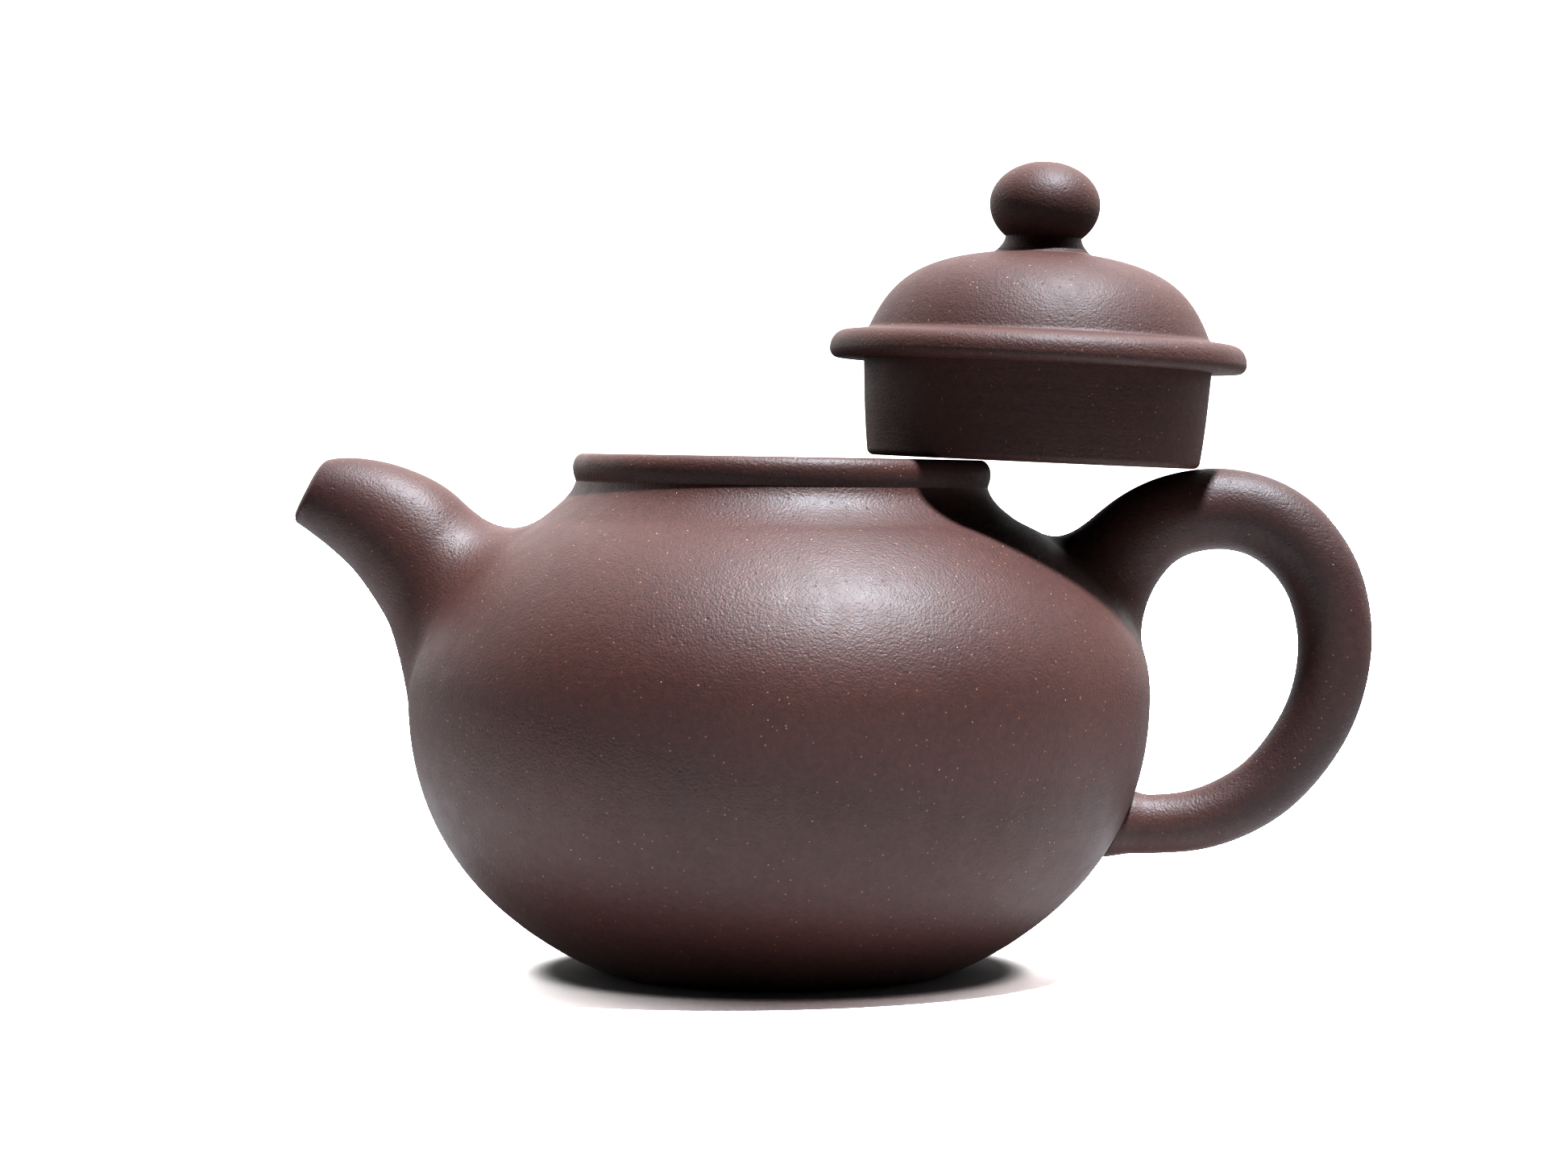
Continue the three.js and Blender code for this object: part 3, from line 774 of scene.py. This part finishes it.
def new_group(name, inputs, outputs):
    """An empty shader node group that reads a vector and named numbers, and puts out named values."""
    group = bpy.data.node_groups.new(name, "ShaderNodeTree")
    group.interface.new_socket("Vector", in_out="INPUT", socket_type="NodeSocketVector")
    for label, value in inputs:
        socket = group.interface.new_socket(label, in_out="INPUT", socket_type="NodeSocketFloat")
        socket.default_value = value
    for label in outputs:
        group.interface.new_socket(label, in_out="OUTPUT", socket_type="NodeSocketFloat")
    source = group.nodes.new("NodeGroupInput")
    sink = group.nodes.new("NodeGroupOutput")
    return group, source, sink


def feed(tree, value, slot):
    """Give an input a socket to read, or a number or plain colour of its own."""
    if isinstance(value, bpy.types.NodeSocket):
        tree.links.new(value, slot)
    elif slot.type == "RGBA":
        slot.default_value = (*value, 1.0)
    else:
        slot.default_value = value


def maths(tree, operation, *values, clamp=False):
    """A Math node whose inputs are numbers or sockets. Returns its output."""
    node = tree.nodes.new("ShaderNodeMath")
    node.operation = operation
    node.use_clamp = clamp
    for slot, value in zip(node.inputs, values):
        feed(tree, value, slot)
    return node.outputs[0]


def vector_maths(tree, operation, vector):
    """A Vector Math node that reads a vector."""
    node = tree.nodes.new("ShaderNodeVectorMath")
    node.operation = operation
    tree.links.new(vector, node.inputs[0])
    return node


def noise(tree, vector, scale, detail=2.0, rough=0.5):
    """Cloudy noise. Returns its value."""
    node = tree.nodes.new("ShaderNodeTexNoise")
    node.inputs["Detail"].default_value = detail
    node.inputs["Roughness"].default_value = rough
    tree.links.new(vector, node.inputs["Vector"])
    feed(tree, scale, node.inputs["Scale"])
    return node.outputs["Fac"]


def cells(tree, vector, scale):
    """Scattered cells. Returns the distance to the nearest one and its chance colour."""
    node = tree.nodes.new("ShaderNodeTexVoronoi")
    tree.links.new(vector, node.inputs["Vector"])
    feed(tree, scale, node.inputs["Scale"])
    return node.outputs["Distance"], node.outputs["Color"]


def ramp(tree, value, low, high, start=0.0, end=1.0):
    """A value carried smoothly from one range to another."""
    node = tree.nodes.new("ShaderNodeMapRange")
    node.interpolation_type = "SMOOTHSTEP"
    tree.links.new(value, node.inputs["Value"])
    for name, number in (("From Min", low), ("From Max", high), ("To Min", start), ("To Max", end)):
        feed(tree, number, node.inputs[name])
    return node.outputs["Result"]


def mixed(tree, part, first, second):
    """Two colours mixed by a value. Each is a socket or a plain colour."""
    node = tree.nodes.new("ShaderNodeMix")
    node.data_type = "RGBA"
    for slot, value in ((0, part), (6, first), (7, second)):
        feed(tree, value, node.inputs[slot])
    return node.outputs[2]


def parts_of(tree, vector):
    """The X, Y and Z of a vector, as outputs."""
    node = tree.nodes.new("ShaderNodeSeparateXYZ")
    tree.links.new(vector, node.inputs[0])
    return node.outputs


def bump(tree, height, distance, normal=None):
    """A Bump node, on top of another's normal if one is given. Returns its normal."""
    node = tree.nodes.new("ShaderNodeBump")
    node.inputs["Distance"].default_value = distance
    tree.links.new(height, node.inputs["Height"])
    if normal is not None:
        tree.links.new(normal, node.inputs["Normal"])
    return node.outputs[0]


def grain_group():
    """Fine relief of sanded clay: soft bumps a third of a millimetre across, finer grit on them, rare
    pits, and a broad swell."""
    values = (("Scale", 2900.0), ("Pits", 0.5))
    group, source, sink = new_group("Clay Grain", values, ("Height", "Swell"))
    vector = source.outputs["Vector"]
    scale = source.outputs["Scale"]
    peel = noise(group, vector, scale, 2.0, 0.55)
    grit, _ = cells(group, vector, maths(group, "MULTIPLY", scale, 1.35))
    pit, chance = cells(group, vector, 900.0)
    rare = ramp(group, chance, 0.55, 0.6)
    hole = maths(group, "MULTIPLY", ramp(group, pit, 0.10, 0.22, 1.0, 0.0), rare)
    depth = maths(group, "MULTIPLY", hole, source.outputs["Pits"])
    bumps = maths(group, "MULTIPLY_ADD", grit, -0.35, peel)
    group.links.new(maths(group, "SUBTRACT", bumps, depth), sink.inputs["Height"])
    group.links.new(noise(group, vector, 160.0, 2.0, 0.5), sink.inputs["Swell"])
    return group


def speck_group():
    """Grains of sand and mica: masks of small round specks, some pale, some tan, some dark. The pale
    specks also stand in for glints, as painted glints.
    """
    group, source, sink = new_group("Sand Specks", (("Amount", 1.0),), ("Pale", "Tan", "Dark"))
    vector = source.outputs["Vector"]
    for label, scale, size, rarity in (
        ("Pale", 980.0, 0.075, 0.62),
        ("Tan", 1050.0, 0.135, 0.42),
        ("Dark", 700.0, 0.11, 0.62),
    ):
        apart, chance = cells(group, vector, scale)
        spot = ramp(group, apart, size * 0.6, size, 1.0, 0.0)
        kept = ramp(group, chance, rarity, rarity + 0.25)
        mask = maths(group, "MULTIPLY", spot, kept)
        mask = maths(group, "MULTIPLY", mask, source.outputs["Amount"], clamp=True)
        group.links.new(mask, sink.inputs[label])
    return group


def tone_group():
    """Slow changes of tone in the clay: clouds a few centimetres wide, and fine mottling."""
    group, source, sink = new_group("Clay Tone", (("Clouds", 0.6),), ("Warmth", "Gloss"))
    vector = source.outputs["Vector"]
    cloud = noise(group, vector, 45.0, 3.0, 0.55)
    fine = noise(group, vector, 1100.0, 3.0, 0.65)
    wide = maths(group, "MULTIPLY", maths(group, "SUBTRACT", cloud, 0.5), source.outputs["Clouds"])
    near = maths(group, "MULTIPLY", maths(group, "SUBTRACT", fine, 0.5), 0.9)
    total = maths(group, "ADD", maths(group, "ADD", wide, near), 0.5, clamp=True)
    group.links.new(total, sink.inputs["Warmth"])
    group.links.new(noise(group, vector, 320.0, 3.0, 0.6), sink.inputs["Gloss"])
    return group


def wiping_group():
    """Marks of a wet cloth on a turning piece: noise drawn out along rings about the upright axis."""
    group, source, sink = new_group("Wiping Marks", (("Width", 900.0),), ("Height",))
    parts = parts_of(group, source.outputs["Vector"])
    join = group.nodes.new("ShaderNodeCombineXYZ")
    for axis, factor in (("X", 0.06), ("Y", 0.06), ("Z", 1.0)):
        group.links.new(maths(group, "MULTIPLY", parts[axis], factor), join.inputs[axis])
    height = noise(group, join.outputs[0], source.outputs["Width"], 3.0, 0.6)
    group.links.new(height, sink.inputs["Height"])
    return group


def clay_groups():
    """The node groups that every clay shares, built once."""
    if "Clay Grain" not in bpy.data.node_groups:
        grain_group()
        speck_group()
        tone_group()
        wiping_group()
    return bpy.data.node_groups


def placed(tree, name, vector, **values):
    """A group node with its values, reading a vector."""
    node = tree.nodes.new("ShaderNodeGroup")
    node.node_tree = clay_groups()[name]
    tree.links.new(vector, node.inputs["Vector"])
    for label, value in values.items():
        node.inputs[label].default_value = value
    return node


def lid_tilt():
    """How far the lid leans about Y."""
    _, axis = lid_axis()
    return math.atan2(axis[0], axis[2])


def clay_material(name, grain=1.0, wiping=0.0, specks=1.0, painted_shade=0.0, gloss=0.0, tilt=0.0):
    """Fired purple clay. grain, wiping and specks scale its relief and grains, the painted shade argument
    moves its colour towards the dark tone away from the body as painted shade, gloss lowers its roughness,
    and tilt turns the wiping marks about Y with the piece."""
    finish = bpy.context.scene.teapot.clay
    material = bpy.data.materials.get(name)
    if material is not None:
        return material
    material = bpy.data.materials.new(name)
    material.use_nodes = True
    tree = material.node_tree
    shader = tree.nodes["Principled BSDF"]
    shader.inputs["IOR"].default_value = 1.5
    shader.inputs["Specular IOR Level"].default_value = 0.5
    vector = tree.nodes.new("ShaderNodeTexCoord").outputs["Object"]
    relief = placed(tree, "Clay Grain", vector, Scale=2900.0, Pits=0.5)
    sand = placed(tree, "Sand Specks", vector, Amount=specks)
    tone = placed(tree, "Clay Tone", vector, Clouds=0.6)
    turn = tree.nodes.new("ShaderNodeMapping")
    turn.inputs["Rotation"].default_value = (0.0, -tilt, 0.0)
    tree.links.new(vector, turn.inputs["Vector"])
    marks = placed(tree, "Wiping Marks", turn.outputs[0], Width=900.0)

    # Painted shade: the limbs' colour darkens with distance from the pot's axis.
    flat = vector_maths(tree, "MULTIPLY", vector)
    flat.inputs[1].default_value = (1, 1, 0)
    away = vector_maths(tree, "LENGTH", flat.outputs[0]).outputs["Value"]
    shade = ramp(tree, away, *PAINTED_LIMB_SHADE, 0.0, painted_shade)
    warmth = maths(tree, "SUBTRACT", tone.outputs["Warmth"], shade, clamp=True)
    skin = mixed(tree, warmth, finish.dark, finish.warm)
    # The pale grains are partly painted glints.
    for label, grains in (("Dark", IRON), ("Tan", finish.sand), ("Pale", finish.mica_and_glint)):
        skin = mixed(tree, sand.outputs[label], skin, grains)
    tree.links.new(skin, shader.inputs["Base Color"])

    base = finish.roughness - gloss
    spread = ramp(tree, tone.outputs["Gloss"], 0.3, 0.7, base - 0.025, base + 0.025)
    rubbed = maths(tree, "MULTIPLY_ADD", marks.outputs["Height"], 0.10 * wiping, spread)
    tree.links.new(rubbed, shader.inputs["Roughness"])

    broad = bump(tree, relief.outputs["Swell"], 0.015 * MM)
    fine = bump(tree, relief.outputs["Height"], finish.relief * grain, broad)
    wiped = bump(tree, marks.outputs["Height"], 0.05 * MM * wiping, fine)
    tree.links.new(wiped, shader.inputs["Normal"])
    return material


# How each clay differs from the plain one.
CLAYS = {
    "Burnished body clay": {"wiping": 0.3},
    # The limbs carry painted shade: their colour darkens away from the body.
    "Hand smoothed clay, painted shade": {"specks": 0.8, "painted_shade": 0.35, "gloss": -0.02},
    "Rough inner clay": {"grain": 1.6, "wiping": 0.6, "specks": 0.7, "gloss": -0.2},
    "Lid clay": {"grain": 1.05, "wiping": 0.35, "gloss": -0.05, "tilt": lid_tilt()},
    "Wiped skirt clay": {"grain": 0.8, "wiping": 1, "specks": 0.8, "gloss": -0.06, "tilt": lid_tilt()},
}
BODY, LIMB, INSIDE, LID, SKIRT = CLAYS


# --- Operators ---


def pot_piece(name, node, grid, loop, clay):
    """A finished piece of the pot, with the small faults of hand work. With loop its rings close."""
    points = hand_made(grid, bpy.context.scene.teapot.pot)
    fitted(clay_object(name, points, loop), "pot", node, clay)


class TEAPOT_OT_body(Operator):
    """Make the base disc, the body wall and the shoulder disc"""

    bl_idname = "teapot.body"
    bl_label = "Body"

    def execute(self, context):
        settings = context.scene.teapot
        for name, node, grid in (
            ("base_disc_clay", "base_disc", base_grid),
            ("body_wall_clay", "body_wall", wall_grid),
            ("shoulder_clay", "shoulder_disc", shoulder_grid),
        ):
            made = grid(settings.pot, settings.sides)
            pot_piece(name, node, made, node != "base_disc", BODY)
        return {"FINISHED"}


class TEAPOT_OT_mouth(Operator):
    """Make the neck ring and the mouth bead"""

    bl_idname = "teapot.mouth"
    bl_label = "Mouth"

    def execute(self, context):
        settings = context.scene.teapot
        for name, node, grid in (
            ("neck_clay", "neck_ring", neck_grid),
            ("mouth_bead_clay", "mouth_bead", bead_grid),
        ):
            pot_piece(name, node, grid(settings.pot, settings.sides), True, BODY)
        return {"FINISHED"}


class TEAPOT_OT_spout(Operator):
    """Make the spout"""

    bl_idname = "teapot.spout"
    bl_label = "Spout"

    def execute(self, context):
        grid = spout_grid(context.scene.teapot.pot)
        pot_piece("spout_clay", "spout", grid, False, LIMB)
        return {"FINISHED"}


class TEAPOT_OT_strainer(Operator):
    """Make the ball strainer at the spout's inner end"""

    bl_idname = "teapot.strainer"
    bl_label = "Strainer"

    def execute(self, context):
        grid = strainer_grid(context.scene.teapot.pot)
        pot_piece("strainer_clay", "strainer_dome", grid, False, INSIDE)
        return {"FINISHED"}


class TEAPOT_OT_handle(Operator):
    """Make the handle"""

    bl_idname = "teapot.handle"
    bl_label = "Handle"

    def execute(self, context):
        grid = handle_grid(context.scene.teapot.pot)
        pot_piece("handle_clay", "handle", grid, False, LIMB)
        return {"FINISHED"}


class TEAPOT_OT_lid(Operator):
    """Make the lid's skirt, flange, dome, stem and knob"""

    bl_idname = "teapot.lid"
    bl_label = "Lid"

    def execute(self, context):
        settings = context.scene.teapot
        for name, node, grid, clay in (
            ("lid_skirt_clay", "lid_skirt", skirt_grid, SKIRT),
            ("lid_flange_clay", "lid_flange", flange_grid, LID),
            ("lid_dome_clay", "lid_dome", dome_grid, LID),
            ("knob_stem_clay", "knob_stem", stem_grid, LID),
            ("knob_clay", "knob", knob_grid, LID),
        ):
            points = laid(grid(settings.lid, settings.sides))
            fitted(clay_object(name, points, True), "lid", node, clay)
        return {"FINISHED"}


class TEAPOT_OT_stage(Operator):
    """Make the table, the light and the camera"""

    bl_idname = "teapot.stage"
    bl_label = "Stage"

    def execute(self, context):
        look = context.scene.teapot.studio
        table(look)
        surround(look)
        high_light(look)
        camera(look)
        context.scene.view_settings.view_transform = "Standard"
        context.scene.view_settings.gamma = GAMMA
        context.scene.view_settings.exposure = EXPOSURE
        return {"FINISHED"}


def table(look):
    """A wide pale table. The camera sees it overexposed, so that only the shade close under the pot stays.
    That shade is partly real and partly a painted contact shadow: close to the pot's axis the camera sees
    the table much darker."""
    mesh = bpy.data.meshes.new("table")
    corners = ((-1, -1), (1, -1), (1, 1), (-1, 1))
    points = [(x * TABLE_HALF, y * TABLE_HALF, -TABLE_DROP) for x, y in corners]
    mesh.from_pydata(points, [], [(0, 1, 2, 3)])
    made = new_object("table", mesh)
    material = bpy.data.materials.new("Pale table")
    material.use_nodes = True
    tree = material.node_tree
    tree.nodes.remove(tree.nodes["Principled BSDF"])
    matt = tree.nodes.new("ShaderNodeBsdfDiffuse")
    seen = tree.nodes.new("ShaderNodeLightPath").outputs["Is Camera Ray"]
    place = tree.nodes.new("ShaderNodeTexCoord").outputs["Object"]
    apart = vector_maths(tree, "LENGTH", place).outputs["Value"]
    # Painted pool of light: other rays see the table pale near the pot and nearly black further out, as if
    # only the part round the pot were lit.
    lit = ramp(tree, apart, 90 * MM, 260 * MM, look.floor_tone, 0.02)
    # Painted contact shadow: near the axis the camera sees the table far darker than light alone makes it.
    exposure_and_painted_shadow = ramp(tree, apart, *PAINTED_CONTACT_SHADOW, 0.6, look.floor_gain)
    tone = ramp(tree, seen, 0.0, 1.0, lit, maths(tree, "MULTIPLY", exposure_and_painted_shadow, look.floor_tone))
    tree.links.new(tone, matt.inputs["Color"])
    tree.links.new(matt.outputs[0], tree.nodes["Material Output"].inputs["Surface"])
    mesh.materials.append(material)


def surround(look):
    """White behind the pot, dim in front of it, and white wherever the camera looks."""
    world = bpy.data.worlds.new("Studio")
    bpy.context.scene.world = world
    world.use_nodes = True
    tree = world.node_tree
    back = tree.nodes["Background"]
    direction = parts_of(tree, tree.nodes.new("ShaderNodeTexCoord").outputs["Generated"])
    glow = ramp(tree, direction["Y"], -0.2, 0.55, look.front_glow, look.back_glow)
    high = ramp(tree, direction["Z"], 0.15, 0.7, 1.0, look.top_glow)
    side = ramp(tree, direction["X"], -0.7, 0.7, look.left_glow, 2.0 - look.left_glow)
    glow = maths(tree, "MULTIPLY", maths(tree, "MULTIPLY", glow, high), side)
    back.inputs["Color"].default_value = (1, 1, 1, 1)
    seen = tree.nodes.new("ShaderNodeLightPath").outputs["Is Camera Ray"]
    tree.links.new(maths(tree, "MAXIMUM", glow, seen), back.inputs["Strength"])


def high_light(look):
    """One narrow sun lamp from high up, a little to the right and in front."""
    light = bpy.data.lights.new("High light", "SUN")
    light.energy = look.key_strength
    light.color = LIGHT_COLOUR
    light.angle = LIGHT_ANGLE
    turn = Vector(LIGHT_FROM).to_track_quat("Z", "Y")
    new_object("High light", light).rotation_euler = turn.to_euler()


def camera(look):
    """Level with the mouth's rim, square to the plane of spout and handle."""
    lens = bpy.data.cameras.new("Camera")
    lens.lens = look.lens
    lens.sensor_width = 36
    lens.clip_start = 0.01
    made = new_object("Camera", lens)
    made.location = EYE
    made.rotation_euler = (math.radians(90 - EYE_DOWN), 0, 0)
    bpy.context.scene.camera = made


class TEAPOT_PT_panel(Panel):
    """Settings and buttons of the teapot"""

    bl_idname = "TEAPOT_PT_panel"
    bl_label = "Round Clay Teapot"
    bl_space_type = "VIEW_3D"
    bl_region_type = "UI"
    bl_category = "Teapot"

    def draw(self, context):
        settings = context.scene.teapot
        layout = self.layout
        for label in ("pot", "lid", "clay", "studio"):
            box = layout.box()
            box.label(text=label.capitalize())
            group = getattr(settings, label)
            for name in group.__annotations__:
                box.prop(group, name)
        layout.prop(settings, "sides")
        for step in STEPS:
            layout.operator(step.bl_idname)


STEPS = (
    TEAPOT_OT_body,
    TEAPOT_OT_mouth,
    TEAPOT_OT_spout,
    TEAPOT_OT_strainer,
    TEAPOT_OT_handle,
    TEAPOT_OT_lid,
    TEAPOT_OT_stage,
)
CLASSES = (PotSizes, LidSizes, ClayFinish, StudioLook, TeapotSettings, *STEPS, TEAPOT_PT_panel)


def register():
    """Add the classes and the scene's settings."""
    for made in CLASSES:
        bpy.utils.register_class(made)
    bpy.types.Scene.teapot = PointerProperty(
        type=TeapotSettings, name="Teapot", description="Teapot settings"
    )


def unregister():
    """Take them away again."""
    del bpy.types.Scene.teapot
    for made in reversed(CLASSES):
        bpy.utils.unregister_class(made)


def main():
    """Make the whole teapot."""
    register()
    for step in STEPS:
        group, name = step.bl_idname.split(".")
        getattr(getattr(bpy.ops, group), name)()


if __name__ == "__main__":
    main()
